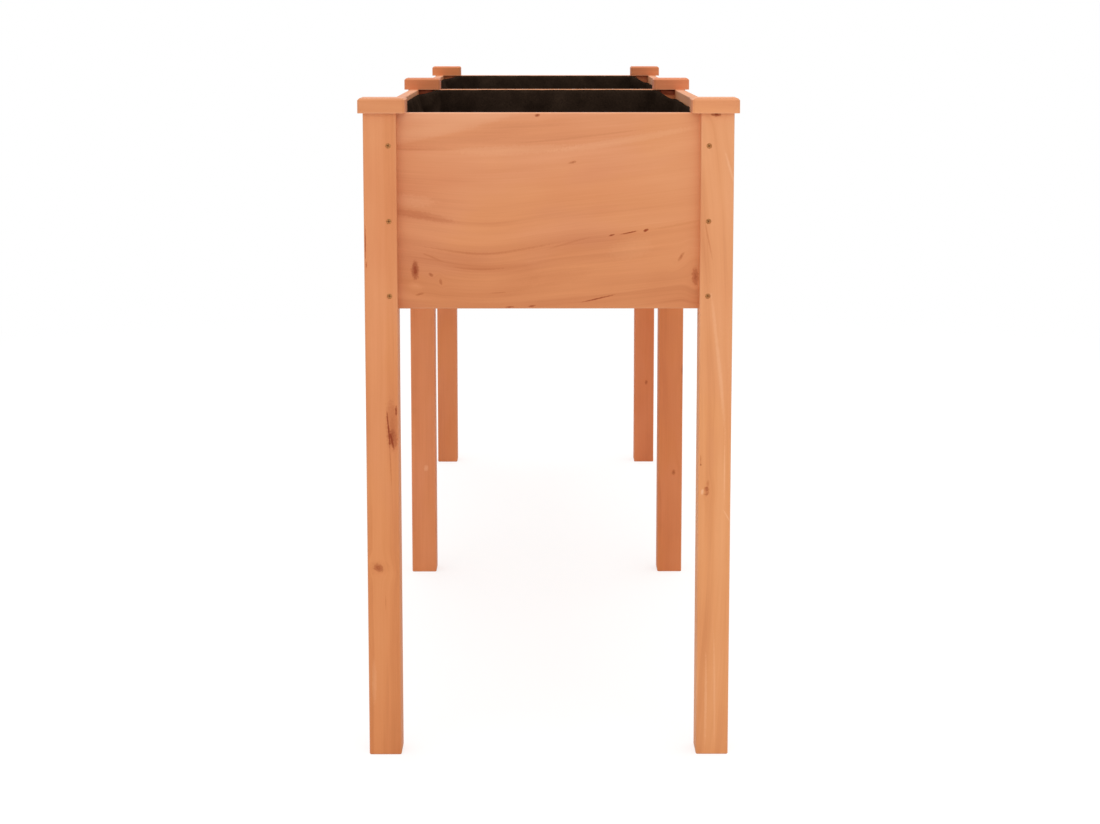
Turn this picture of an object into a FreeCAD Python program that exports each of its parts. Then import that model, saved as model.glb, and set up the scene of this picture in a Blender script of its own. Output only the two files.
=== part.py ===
import FreeCAD, Part
import math
import os

# Raised planter: three frames of two legs and a cross panel carry four side boards, which
# close two planting bays. Each bay has a slatted floor on bearers and a loose fabric liner.
# X runs across the planter, Y along it from the front frame to the rear one, Z up, in mm.
# The origin is on the floor, under the middle of the planter.

# Size over the post caps
overall_length = 1520.0
overall_width = 385.0

# Legs: square posts, each with a groove for the end of a cross panel
leg_side = 33.5
leg_length = 670.0
leg_edge_chamfer = 1.0
foot_chamfer = 1.0

# Post caps: square, on top of the legs, each held by one dowel
cap_side = 47.5
cap_thickness = 15.0
cap_overhang = 5.0
cap_edge_chamfer = 2.0
dowel_diameter = 6.0
dowel_in_leg = 20.0
dowel_in_cap = 9.0
dowel_fit = 0.1

# Cross panels and side boards, all level with the tops of the legs
board_height = 200.0
board_edge_chamfer = 0.8
panel_thickness = 12.0
panel_setback = 10.0
panel_in_groove = 12.0
panel_groove_fit = 0.3
side_board_thickness = 12.0
side_board_inset = 2.0

# Corner cleats behind the side boards, and bearers along their lower edges
cleat_side = 20.0
cleat_drop = 25.0
bearer_width = 20.0
bearer_height = 20.0

# Floor slats across the bearers, which share the length of a bay with drainage gaps between them
slat_count = 7
slat_gap = 10.0
slat_thickness = 10.0
slat_end_gap = 1.0
slat_notch_gap = 1.5

# Liners: bags of thin fabric that stand on the slats and follow the walls of the bay
liner_wall = 1.0
liner_gap = 0.5
liner_corner_cut = 8.0
liner_drop_at_panels = 3.0
liner_drop_at_sides = 11.0

# Screws and dowels have flat facets, which keep so many small pieces light
fixing_facets = 10

# Screws: countersunk, in holes a little wider than they are
screw_diameter = 4.0
screw_head_diameter = 7.5
screw_head_height = 2.6
screw_hole_fit = 0.1
leg_screw_from_outer_face = 25.4
leg_screw_count = 3
leg_screw_top_margin = 33.0
leg_screw_bottom_margin = 14.0
leg_screw_head_diameter = 5.6
leg_screw_sink = 1.2
leg_screw_bite = 12.0
bearer_screw_count = 4
board_screw_bite = 8.5

# Main planes, worked out from the sizes above
half_width = overall_width / 2 - cap_overhang
half_length = overall_length / 2 - cap_overhang
leg_inner = half_width - leg_side
side_outer = half_width - side_board_inset
side_inner = side_outer - side_board_thickness
cleat_inner = side_inner - cleat_side
bearer_inner = side_inner - bearer_width
boards_bottom = leg_length - board_height
slats_bottom = boards_bottom + bearer_height
floor_top = slats_bottom + slat_thickness
screw_x = half_width - leg_screw_from_outer_face

# Heights of the screws: those of the legs spread evenly, those of the cleats halfway between them
leg_screw_top = leg_length - leg_screw_top_margin
leg_screw_step = (board_height - leg_screw_top_margin - leg_screw_bottom_margin) / (leg_screw_count - 1)
leg_screw_heights = [leg_screw_top - i * leg_screw_step for i in range(leg_screw_count)]
cleat_screw_heights = [z - leg_screw_step / 2 for z in leg_screw_heights[:-1]]

sides = (("left", -1), ("right", 1))

parts = {}
cutters = {}


def block(x_range, y_range, z_range):
    x0, x1 = sorted(x_range)
    y0, y1 = sorted(y_range)
    z0, z1 = sorted(z_range)
    return Part.makeBox(x1 - x0, y1 - y0, z1 - z0, FreeCAD.Vector(x0, y0, z0))


def edges_along(solid, axis):
    """The straight edges of a solid that run along one axis: 0 for X, 1 for Y, 2 for Z."""
    found = []
    for edge in solid.Edges:
        run = edge.Vertexes[-1].Point - edge.Vertexes[0].Point
        if abs(run[axis]) > 0.999 * run.Length > 0:
            found.append(edge)
    return found


def edges_at_height(solid, z):
    return [e for e in solid.Edges if abs(e.BoundBox.ZMin - z) + abs(e.BoundBox.ZMax - z) < 1e-6]


def eased(solid, axis, chamfer):
    """A solid with its edges along one axis planed off."""
    return solid.makeChamfer(chamfer, edges_along(solid, axis))


def prism(points, run):
    """A solid from a closed outline of points, pushed along a vector."""
    corners = [FreeCAD.Vector(*p) for p in points]
    return Part.Face(Part.makePolygon(corners + corners[:1])).extrude(FreeCAD.Vector(*run))


def placed(shape, point, direction):
    """A shape made along +Z from the origin, moved to a point and turned along a direction."""
    turn = FreeCAD.Rotation(FreeCAD.Vector(0, 0, 1), FreeCAD.Vector(*direction))
    shape.Placement = FreeCAD.Placement(FreeCAD.Vector(*point), turn)
    return shape


def faceted(profile):
    """A many-sided pin about Z, from the radius and height of each of its rings."""
    turns = [2 * math.pi * i / fixing_facets for i in range(fixing_facets)]
    rings = []
    for radius, height in profile:
        rings.append([FreeCAD.Vector(radius * math.cos(t), radius * math.sin(t), height) for t in turns])
    outlines = [rings[0], rings[-1]]
    for low, high in zip(rings, rings[1:]):
        for i in range(fixing_facets):
            outlines.append([low[i - 1], low[i], high[i], high[i - 1]])
    faces = [Part.Face(Part.makePolygon(points + points[:1])) for points in outlines]
    return Part.makeSolid(Part.makeShell(faces))


def screw_profile(length, head_diameter, fit=0.0, sink=0.0):
    """A countersunk screw along +Z with its head's face at zero, or with a fit the hole for it."""
    shank = screw_diameter / 2 + fit
    head = head_diameter / 2 + fit
    rings = [(head, 0), (shank, screw_head_height), (shank, length + fit)]
    if sink:
        rings.insert(0, (head, -sink))
    return rings


def drive(group, point, direction, length, through, head_diameter=screw_head_diameter, sink=0.0):
    """Adds one screw to a group and its hole to the pieces that it goes through."""
    start = FreeCAD.Vector(*point) + FreeCAD.Vector(*direction) * sink
    fixing = placed(faceted(screw_profile(length, head_diameter)), start, direction)
    parts.setdefault(group, []).append(fixing)
    hole = faceted(screw_profile(length, head_diameter, screw_hole_fit, sink))
    for node in through:
        cutters.setdefault(node, []).append(placed(hole.copy(), start, direction))


def dowel(length, fit=0.0):
    radius = dowel_diameter / 2 + fit
    return faceted([(radius, 0), (radius, length)])


# Each frame: its name, where its legs start along Y, and which of their faces the cross panel
# is set back from, -1 for the front face and 1 for the rear one
frames = (
    ("front", -half_length, -1),
    ("middle", -leg_side / 2, -1),
    ("rear", half_length - leg_side, 1),
)
panel_names = {"front": "front_panel", "middle": "divider_panel", "rear": "rear_panel"}


def panel_range(leg_start, facing, fit=0.0):
    """The Y range of a cross panel, or with a fit that of its groove."""
    if facing < 0:
        face = leg_start + panel_setback
        return (face, face + panel_thickness + fit)
    face = leg_start + leg_side - panel_setback
    return (face - panel_thickness - fit, face)


def make_leg(name, sign, leg_start, facing):
    x_range = (sign * leg_inner, sign * half_width)
    leg = block(x_range, (leg_start, leg_start + leg_side), (0, leg_length))
    leg = eased(leg, 2, leg_edge_chamfer)
    leg = leg.makeChamfer(foot_chamfer, edges_at_height(leg, 0))
    groove_x = (sign * leg_inner, sign * (leg_inner + panel_in_groove + panel_groove_fit))
    groove_y = panel_range(leg_start, facing, panel_groove_fit)
    parts[name] = leg.cut(block(groove_x, groove_y, (boards_bottom, leg_length)))


def make_cap(name, leg_name, sign, frame, leg_start):
    x_outer = half_width + cap_overhang
    x_range = (sign * (x_outer - cap_side), sign * x_outer)
    y_start = {
        "front": -half_length - cap_overhang,
        "middle": -cap_side / 2,
        "rear": half_length + cap_overhang - cap_side,
    }[frame]
    cap_top = leg_length + cap_thickness
    cap = block(x_range, (y_start, y_start + cap_side), (leg_length, cap_top))
    worn = edges_along(cap, 2) + edges_at_height(cap, cap_top)
    parts[name] = cap.makeChamfer(cap_edge_chamfer, worn)
    # One dowel stands in the leg and in the underside of its cap
    low = (sign * (leg_inner + leg_side / 2), leg_start + leg_side / 2, leg_length - dowel_in_leg)
    up = (0, 0, 1)
    length = dowel_in_leg + dowel_in_cap
    parts.setdefault("cap_dowels", []).append(placed(dowel(length), low, up))
    for node in (name, leg_name):
        cutters.setdefault(node, []).append(placed(dowel(length, dowel_fit), low, up))


def make_cross_panel(name, leg_start, facing):
    half_run = leg_inner + panel_in_groove
    y_range = panel_range(leg_start, facing)
    panel = block((-half_run, half_run), y_range, (boards_bottom, leg_length))
    parts[name] = eased(panel, 0, board_edge_chamfer)


panel_ranges = {}
for frame, leg_start, facing in frames:
    panel_ranges[frame] = panel_range(leg_start, facing)
    make_cross_panel(panel_names[frame], leg_start, facing)
    for side, sign in sides:
        leg_name = f"{frame}_{side}_leg"
        make_leg(leg_name, sign, leg_start, facing)
        make_cap(f"{frame}_{side}_cap", leg_name, sign, frame, leg_start)

# Each bay: its name, the Y range between its legs and the Y range between its cross panels
leg_run = half_length - leg_side
bays = (
    ("front", (-leg_run, -leg_side / 2), (panel_ranges["front"][1], panel_ranges["middle"][0])),
    ("rear", (leg_side / 2, leg_run), (panel_ranges["middle"][1], panel_ranges["rear"][0])),
)


def cleat_ranges(run):
    """The Y ranges of the two cleats on a side board."""
    return {
        "front": (run[0], run[0] + cleat_side),
        "rear": (run[1] - cleat_side, run[1]),
    }


def slat_ranges(floor_run):
    """The Y ranges of the slats in a bay, from gap to gap."""
    step = (floor_run[1] - floor_run[0] - slat_gap) / slat_count
    gap_ends = [floor_run[0] + slat_gap + i * step for i in range(slat_count)]
    return [(start, start + step - slat_gap) for start in gap_ends]


def make_side(bay, side, sign, run):
    """A side board with its two cleats and its bearer, and the screws that join them."""
    board_name = f"{bay}_{side}_side_board"
    board_x = (sign * side_inner, sign * side_outer)
    board = block(board_x, run, (boards_bottom, leg_length))
    parts[board_name] = eased(board, 1, board_edge_chamfer)
    outwards = (sign, 0, 0)
    for end, y_range in cleat_ranges(run).items():
        cleat_name = f"{bay}_{side}_{end}_cleat"
        cleat_x = (sign * cleat_inner, sign * side_inner)
        parts[cleat_name] = block(cleat_x, y_range, (boards_bottom, leg_length - cleat_drop))
        for z in cleat_screw_heights:
            start = (sign * cleat_inner, sum(y_range) / 2, z)
            length = cleat_side + board_screw_bite
            drive("cleat_screws", start, outwards, length, (cleat_name, board_name))
    bearer_name = f"{bay}_{side}_bearer"
    bearer_x = (sign * bearer_inner, sign * side_inner)
    bearer_y = (run[0] + cleat_side, run[1] - cleat_side)
    parts[bearer_name] = block(bearer_x, bearer_y, (boards_bottom, slats_bottom))
    step = (bearer_y[1] - bearer_y[0]) / bearer_screw_count
    for i in range(bearer_screw_count):
        y = bearer_y[0] + step * (i + 0.5)
        start = (sign * bearer_inner, y, boards_bottom + bearer_height / 2)
        length = bearer_width + board_screw_bite
        drive("bearer_screws", start, outwards, length, (bearer_name, board_name))


def make_floor(bay, run, floor_run):
    """The slats of a bay, laid loose on the bearers and notched round the posts in its corners."""
    half_span = side_inner - slat_end_gap
    post_inner = min(cleat_inner, leg_inner) - slat_notch_gap
    post_ends = (
        (floor_run[0], run[0] + cleat_side + slat_notch_gap),
        (run[1] - cleat_side - slat_notch_gap, floor_run[1]),
    )
    z_range = (slats_bottom, floor_top)
    posts = []
    for side, sign in sides:
        for y_range in post_ends:
            posts.append(block((sign * post_inner, sign * side_outer), y_range, z_range))
    for number, y_range in enumerate(slat_ranges(floor_run), 1):
        slat = block((-half_span, half_span), y_range, z_range)
        parts[f"{bay}_floor_slat_{number}"] = slat.cut(posts)


def bay_outline(run, floor_run):
    """The plan of a liner, a little inside the boards, the panels and the corner posts of a bay."""
    # Cutting its corners brings the fabric nearer to a post, so it starts that much further off
    post_gap = liner_gap + liner_corner_cut / 2
    wall = side_inner - liner_gap
    post = min(cleat_inner, leg_inner) - post_gap
    y0 = floor_run[0] + liner_gap
    y1 = run[0] + cleat_side + post_gap
    y2 = run[1] - cleat_side - post_gap
    y3 = floor_run[1] - liner_gap
    right = [(post, y0), (post, y1), (wall, y1), (wall, y2), (post, y2), (post, y3)]
    left = [(-x, y) for x, y in reversed(right)]
    return [(x, y, floor_top) for x, y in right + left]


def make_liner(bay, run, floor_run):
    """A bag with an open top, whose rim is highest at the panels and falls towards the sides."""
    rim_at_panels = leg_length - liner_drop_at_panels
    rim_at_sides = leg_length - liner_drop_at_sides
    height = rim_at_panels - floor_top
    outline = bay_outline(run, floor_run)
    bag = eased(prism(outline, (0, 0, height)), 2, liner_corner_cut)
    sharp_joins = 2
    bottom = min(bag.Faces, key=lambda face: face.CenterOfMass.z)
    plan = bottom.makeOffset2D(-liner_wall, sharp_joins)
    plan.translate(FreeCAD.Vector(0, 0, liner_wall))
    hollow = plan.extrude(FreeCAD.Vector(0, 0, height))
    # What lies above the rim: level over the side boards, sloping across the corner posts
    post = outline[0][0]
    above = []
    for side, sign in sides:
        rim = [
            (sign * post, floor_run[0], rim_at_panels),
            (sign * side_inner, floor_run[0], rim_at_sides),
            (sign * side_outer, floor_run[0], rim_at_sides),
            (sign * side_outer, floor_run[0], leg_length),
            (sign * post, floor_run[0], leg_length),
        ]
        above.append(prism(rim, (0, floor_run[1] - floor_run[0], 0)))
    parts[f"{bay}_liner"] = bag.cut([hollow] + above)


for bay, run, floor_run in bays:
    for side, sign in sides:
        make_side(bay, side, sign, run)
    make_floor(bay, run, floor_run)
    make_liner(bay, run, floor_run)

# The end legs' screws go in from outside, through the leg and the panel's end into a cleat.
# The middle legs' screws go in from the rear bay, through both and into the cleat beyond.
for side, sign in sides:
    for z in leg_screw_heights:
        end_length = leg_side - leg_screw_sink + leg_screw_bite
        for bay, direction, cleat_end in (("front", 1, "front"), ("rear", -1, "rear")):
            drive(
                f"{bay}_leg_screws",
                (sign * screw_x, -direction * half_length, z),
                (0, direction, 0),
                end_length,
                (f"{bay}_{side}_leg", panel_names[bay], f"{bay}_{side}_{cleat_end}_cleat"),
                leg_screw_head_diameter,
                leg_screw_sink,
            )
        drive(
            "middle_leg_screws",
            (sign * screw_x, leg_side / 2 + cleat_side, z),
            (0, -1, 0),
            cleat_side + leg_side + leg_screw_bite,
            (
                f"rear_{side}_front_cleat",
                "divider_panel",
                f"middle_{side}_leg",
                f"front_{side}_rear_cleat",
            ),
        )

for node, tools in cutters.items():
    parts[node] = parts[node].cut(tools)

os.makedirs("parts", exist_ok=True)
for node, shape in parts.items():
    solid = Part.makeCompound(shape) if isinstance(shape, list) else shape
    solid.exportStep(f"parts/{node}.step")
print(len(parts), "nodes")
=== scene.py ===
import math
from functools import partial

import bmesh
import bpy
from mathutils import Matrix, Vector, noise


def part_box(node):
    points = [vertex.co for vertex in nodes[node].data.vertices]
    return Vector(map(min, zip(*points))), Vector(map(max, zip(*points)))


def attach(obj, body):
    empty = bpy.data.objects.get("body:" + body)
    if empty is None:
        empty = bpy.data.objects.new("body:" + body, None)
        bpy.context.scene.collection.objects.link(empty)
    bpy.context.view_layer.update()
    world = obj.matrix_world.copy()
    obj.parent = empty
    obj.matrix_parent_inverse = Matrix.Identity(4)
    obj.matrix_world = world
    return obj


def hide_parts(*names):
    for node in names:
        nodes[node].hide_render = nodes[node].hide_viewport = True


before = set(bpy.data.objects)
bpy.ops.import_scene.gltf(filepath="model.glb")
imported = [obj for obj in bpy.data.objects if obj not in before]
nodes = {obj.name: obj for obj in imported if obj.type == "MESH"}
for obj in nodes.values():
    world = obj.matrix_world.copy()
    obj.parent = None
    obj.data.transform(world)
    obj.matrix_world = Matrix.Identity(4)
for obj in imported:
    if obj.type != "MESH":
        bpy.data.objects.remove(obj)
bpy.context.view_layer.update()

mm = 0.001
print("frame loaded:", len(nodes), "nodes")


def linear(hexColour):  # sRGB hex to linear RGBA
    parts = [int(hexColour[i:i + 2], 16) / 255 for i in (1, 3, 5)]
    return (*[c / 12.92 if c <= 0.04045 else ((c + 0.055) / 1.055) ** 2.4 for c in parts], 1.0)


def setInputs(node, inputs):  # values, or links from sockets; a node stands for its first output
    for key, value in inputs.items():
        if isinstance(value, bpy.types.Node):
            value = value.outputs[0]
        if isinstance(value, bpy.types.NodeSocket):
            node.id_data.links.new(value, node.inputs[key])
        else:
            node.inputs[key].default_value = value


# one node with its settings, values and links; a shader node is named without its prefix
def addNode(tree, kind, inputs=None, **settings):
    node = tree.nodes.new(kind if "Node" in kind else "ShaderNode" + kind)
    for name, value in settings.items():
        setattr(node, name, value)
    setInputs(node, inputs or {})
    return node


def newTree(name, kind, inputs, outputs):  # a node group, a way to add its nodes, and what it is given
    tree = bpy.data.node_groups.new(name, kind)
    for way, sockets in (("INPUT", inputs), ("OUTPUT", outputs)):
        for socketKind, labels in sockets.items():
            for label in labels:
                tree.interface.new_socket(label, in_out=way, socket_type="NodeSocket" + socketKind)
    add = partial(addNode, tree)
    return tree, add, add("NodeGroupInput").outputs


def newMaterial(name):  # a material, a way to add its nodes, its shader and the Object coordinates
    material = bpy.data.materials.new(name)
    material.use_nodes = True
    add = partial(addNode, material.node_tree)
    shader = material.node_tree.nodes["Principled BSDF"]
    return material, add, shader, add("TexCoord").outputs["Object"]


# Stained fir: planed softwood under a thin honey-brown stain. The eye sees soft bands of growth, a few
# harder late-wood lines, fine fibre streaks, knots that the grain flows round, and a dull sheen.
firSizes = {  # length along the grain, then across it, in mm
    "wander": (430, 100, 100),  # how the whole log leans and bows
    "wave": (80, 13, 13),  # small ripples of the growth lines
    "streak": (210, 4.2, 4.2),
    "fibre": (60, 1.4, 1.4),  # real fibres are finer: drawn this coarse so that they show
    "blotch": (150, 55, 55),  # where the stain took more or less
    "fading": (130, 24, 24),  # where the late-wood lines come and go
    "hue": (120, 48, 48),  # where the stain leans to gold
}
firShift = {"wander": 26, "wave": 3.2}  # how far these move the growth lines, in mm
firGains = {"streak": 0.2, "fibre": 0.26, "blotch": 0.75}  # how much each moves the tone
firLines = {  # late wood
    "start": 0.45, "peak": 0.92,  # its dark part, in shares of a ring
    "season": 0.23, "uneven": 2.6, "contrast": 1.6,  # how rings vary in width, and years in strength
}
bandSeedStep = 7.3  # keeps the bands of two boards apart
firCoat = {  # sheen and relief of the stained surface
    "dull": 0.48, "streakDull": 0.22, "lineGloss": 0.08, "specular": 0.3,
    "fibreHeight": 0.6, "lineHeight": 0.5, "relief": 0.35, "reliefDepth": 0.12,  # the depth in mm
    "edgeWave": 2.4,  # how unevenly the lighter edges run, in mm
}
marking = {  # knots, pitch streaks and pale patches
    "depth": 14.0,  # how far a mark goes into the board, in mm
    "ragged": 0.45, "rings": 11.0, "ringDepth": 0.14,  # its torn edge, per mm, and the rings inside it
    "end": 1.1, "edge": 0.75, "broadEdge": 0.2, "broad": 20.0,  # where it ends and how much of it fades out
    "push": 0.8, "pushFall": 0.22,  # how far a knot pushes the grain, and how fast that dies away
    "knotStrength": 0.4, "knotWidth": (1.5, 12.0),  # a mark this strong and this wide is a knot
}


def buildMarkGroup():  # one mark, with the grain pushed round it
    tree, add, given = newTree(
        "boardMark", "ShaderNodeTree",
        {"Vector": ("Vector", "Centre", "Half Size"), "Float": ("Mark", "Turn", "Push", "Edge", "Strength")},
        {"Vector": ("Vector",), "Float": ("Mark",)},
    )
    away = add("VectorMath", {0: given["Vector"], 1: given["Centre"]}, operation="SUBTRACT")
    turned = add("VectorRotate", {"Vector": away, "Angle": given["Turn"]}, rotation_type="Z_AXIS")
    shares = add("VectorMath", {0: turned, 1: given["Half Size"]}, operation="DIVIDE")
    reach = add("VectorMath", {0: shares}, operation="LENGTH").outputs["Value"]
    ragged = add("TexNoise", {"Vector": given["Vector"], "Scale": marking["ragged"], "Detail": 2.0})
    centred = add("Math", {0: ragged, 1: 0.5}, operation="SUBTRACT")
    uneven = add("Math", {0: centred, 1: given["Edge"], 2: reach}, operation="MULTIPLY_ADD")
    whole = add("Math", {0: marking["end"], 1: given["Edge"]}, operation="SUBTRACT")
    mask = add("MapRange", {
        "Value": uneven, "From Min": whole, "From Max": marking["end"], "To Min": 1.0, "To Max": 0.0,
    }, interpolation_type="SMOOTHSTEP")
    ringAngle = add("Math", {0: uneven, 1: marking["rings"]}, operation="MULTIPLY")
    ringWave = add("Math", {0: ringAngle}, operation="SINE")
    rings = add("Math", {
        0: ringWave, 1: marking["ringDepth"], 2: 1 - marking["ringDepth"]}, operation="MULTIPLY_ADD")
    shade = add("Math", {0: mask, 1: rings}, operation="MULTIPLY")
    mark = add("Math", {0: shade, 1: given["Strength"], 2: given["Mark"]}, operation="MULTIPLY_ADD")
    near = add("Math", {0: reach, 1: reach}, operation="MULTIPLY")
    fall = add("Math", {0: near, 1: -marking["pushFall"]}, operation="MULTIPLY")
    pull = add("Math", {0: fall}, operation="EXPONENT")
    push = add("Math", {0: pull, 1: given["Push"]}, operation="MULTIPLY")
    across = add("VectorMath", {0: away, 1: (0, 1, 0)}, operation="MULTIPLY")
    shift = add("VectorMath", {0: across, "Scale": push}, operation="SCALE")
    pushed = add("VectorMath", {0: given["Vector"], 1: shift}, operation="SUBTRACT")
    add("NodeGroupOutput", {"Vector": pushed, "Mark": mark})
    return tree


def buildFirGroup():  # the figure of one board, from its place in the log
    tree, add, given = newTree(
        "stainedFirBoard", "ShaderNodeTree",
        {
            "Vector": ("Vector", "Plain", "Half Size", "Grain", "Pith", "Drift", "Gold Drift"),
            "Float": ("Mark", "Seed", "Ring Width", "Band Width", "Band Gain", "Line Gain", "Heart"),
            "Color": ("Light", "Middle", "Dark", "Red", "Gold", "Knot", "Worn"),
        },
        {"Color": ("Colour",), "Float": ("Roughness", "Height")},
    )
    noises = {}
    for name, size in firSizes.items():
        scaled = add("VectorMath", {0: given["Vector"], 1: size}, operation="DIVIDE")
        noises[name] = add("TexNoise", {
            "Vector": scaled, "W": given["Seed"], "Scale": 1.0, "Detail": 2.0}, noise_dimensions="4D")
    # where the point lies in the log: the board's own place, led astray by the slow and the quick waves
    path = given["Vector"]
    for name, size in firShift.items():
        moved = add("VectorMath", {
            0: noises[name].outputs["Color"], 1: (0, size, size), 2: (0, -size / 2, -size / 2),
        }, operation="MULTIPLY_ADD")
        path = add("VectorMath", {0: path, 1: moved}, operation="ADD")
    fromPith = add("VectorMath", {0: path, 1: given["Pith"]}, operation="SUBTRACT")
    section = add("VectorMath", {0: fromPith, 1: (0, 1, 1)}, operation="MULTIPLY")
    growth = add("VectorMath", {0: section}, operation="LENGTH").outputs["Value"]
    # late-wood lines: a slow rise and a sharp end to each ring, some rings stronger than others
    rings = add("Math", {0: growth, 1: given["Ring Width"]}, operation="DIVIDE")
    seasons = add("Math", {0: rings, 1: firLines["season"], 2: given["Seed"]}, operation="MULTIPLY_ADD")
    weather = add("TexNoise", {"W": seasons, "Scale": 1.0, "Detail": 1.0}, noise_dimensions="1D")
    year = add("Math", {0: weather, 1: firLines["uneven"], 2: rings}, operation="MULTIPLY_ADD")
    phase = add("Math", {0: year}, operation="FRACT")
    yearNumber = add("Math", {0: year}, operation="FLOOR")
    yearSeed = add("Math", {0: yearNumber, 1: given["Seed"]}, operation="ADD")
    yearGain = add("TexWhiteNoise", {"W": yearSeed}, noise_dimensions="1D")
    late = add("MapRange", {
        "Value": phase, "From Min": firLines["start"], "From Max": firLines["peak"],
    }, interpolation_type="SMOOTHSTEP")
    drop = add("MapRange", {
        "Value": phase, "From Min": firLines["peak"], "From Max": 1.0, "To Min": 1.0, "To Max": 0.0,
    }, interpolation_type="SMOOTHSTEP")
    strong = add("Math", {0: yearGain, 1: firLines["contrast"]}, operation="POWER")
    present = add("MapRange", {
        "Value": noises["fading"], "From Min": 0.42, "From Max": 0.66, "To Min": 0.08,
    }, interpolation_type="SMOOTHSTEP")
    for share in (drop, strong, present):
        late = add("Math", {0: late, 1: share}, operation="MULTIPLY")
    # broad bands of faster and slower growth
    bandPlace = add("Math", {0: growth, 1: given["Band Width"]}, operation="DIVIDE")
    bandSeed = add("Math", {0: given["Seed"], 1: bandSeedStep, 2: bandPlace}, operation="MULTIPLY_ADD")
    band = add("TexNoise", {"W": bandSeed, "Scale": 1.0, "Detail": 2.0}, noise_dimensions="1D")
    # one tone from all of these, 0 dark to 1 light
    shares = add("VectorMath", {0: given["Plain"], 1: given["Half Size"]}, operation="DIVIDE")
    drift = add("VectorMath", {0: shares, 1: given["Drift"]}, operation="DOT_PRODUCT")
    tone = add("Math", {0: drift.outputs["Value"], 1: 0.5}, operation="ADD")
    gains = [(band, given["Band Gain"]), *((noises[name], gain) for name, gain in firGains.items())]
    for value, gain in gains:
        centred = add("Math", {0: value, 1: 0.5}, operation="SUBTRACT")
        tone = add("Math", {0: centred, 1: gain, 2: tone}, operation="MULTIPLY_ADD")
    lineDepth = add("Math", {0: late, 1: given["Line Gain"]}, operation="MULTIPLY")
    for darker in (lineDepth, given["Mark"]):  # a weak mark only changes the tone
        tone = add("Math", {0: tone, 1: darker}, operation="SUBTRACT")
    colour = given["Dark"]
    for start, shade in ((0.0, "Middle"), (0.5, "Light")):
        share = add("MapRange", {"Value": tone, "From Min": start, "From Max": start + 0.5})
        colour = add("Mix", {0: share, 6: colour, 7: given[shade]}, data_type="RGBA").outputs[2]
    # redder heartwood inside the heart radius, stain that lies thicker here and there or leans to gold
    heartIn = add("Math", {0: given["Heart"], 1: growth}, operation="SUBTRACT")
    heart = add("MapRange", {
        "Value": heartIn, "From Min": -1.5, "From Max": 1.5, "To Max": 0.55}, interpolation_type="SMOOTHSTEP")
    thick = add("MapRange", {
        "Value": noises["blotch"].outputs["Color"], "From Min": 0.5, "From Max": 0.72, "To Max": 0.3,
    }, interpolation_type="SMOOTHSTEP")
    redness = add("Math", {0: heart, 1: thick}, operation="MAXIMUM")
    goldLean = add("VectorMath", {0: shares, 1: given["Gold Drift"]}, operation="DOT_PRODUCT")
    hue = add("Math", {0: noises["hue"], 1: goldLean.outputs["Value"]}, operation="ADD")
    golden = add("MapRange", {
        "Value": hue, "From Min": 0.4, "From Max": 0.62}, interpolation_type="SMOOTHSTEP")
    # the eased edges, lighter from thin stain and from a painted highlight: the second smallest distance to
    # the board's faces, in mm
    depth = add("VectorMath", {0: given["Plain"]}, operation="ABSOLUTE")
    inside = add("VectorMath", {0: given["Half Size"], 1: depth}, operation="SUBTRACT")
    faces = add("SeparateXYZ", {0: inside}).outputs
    least = add("Math", {0: faces[0], 1: faces[1]}, operation="MINIMUM")
    most = add("Math", {0: faces[0], 1: faces[1]}, operation="MAXIMUM")
    mostOrThird = add("Math", {0: most, 1: faces[2]}, operation="MINIMUM")
    second = add("Math", {0: least, 1: mostOrThird}, operation="MAXIMUM")
    unevenEdge = add("Math", {0: noises["wave"], 1: firCoat["edgeWave"], 2: second}, operation="MULTIPLY_ADD")
    wornAndHighlight = add("MapRange", {
        "Value": unevenEdge, "From Min": 1.2, "From Max": 3.0, "To Min": 0.22, "To Max": 0.0,
    }, interpolation_type="SMOOTHSTEP")
    # sawn ends drink more stain, strong marks turn to knot brown, pale patches lighten
    normal = add("NewGeometry").outputs["True Normal"]
    facing = add("VectorMath", {0: normal, 1: given["Grain"]}, operation="DOT_PRODUCT")
    end = add("Math", {0: facing.outputs["Value"]}, operation="ABSOLUTE")
    endGrain = add("MapRange", {"Value": end, "From Min": 0.8, "From Max": 0.9, "To Max": 0.55})
    knot = add("MapRange", {
        "Value": given["Mark"], "From Min": 0.25, "From Max": 1.0, "To Max": 0.95,
    }, interpolation_type="SMOOTHSTEP")
    pale = add("Math", {0: given["Mark"], 1: -1.0}, operation="MULTIPLY", use_clamp=True)
    layers = (
        ("MULTIPLY", redness, "Red"), ("MULTIPLY", golden, "Gold"), ("MIX", wornAndHighlight, "Worn"),
        ("MIX", endGrain, "Dark"), ("MIX", knot, "Knot"), ("MIX", pale, "Worn"),
    )
    for blend, share, shade in layers:
        laid = {0: share, 6: colour, 7: given[shade]}
        colour = add("Mix", laid, data_type="RGBA", blend_type=blend).outputs[2]
    dull = add("Math", {
        0: noises["streak"], 1: firCoat["streakDull"], 2: firCoat["dull"]}, operation="MULTIPLY_ADD")
    rough = add("Math", {0: late, 1: -firCoat["lineGloss"], 2: dull}, operation="MULTIPLY_ADD")
    fibres = add("Math", {0: noises["fibre"], 1: firCoat["fibreHeight"]}, operation="MULTIPLY")
    height = add("Math", {0: late, 1: firCoat["lineHeight"], 2: fibres}, operation="MULTIPLY_ADD")
    add("NodeGroupOutput", {"Colour": colour, "Roughness": rough, "Height": height})
    return tree


markGroup = buildMarkGroup()
firGroup = buildFirGroup()

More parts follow.
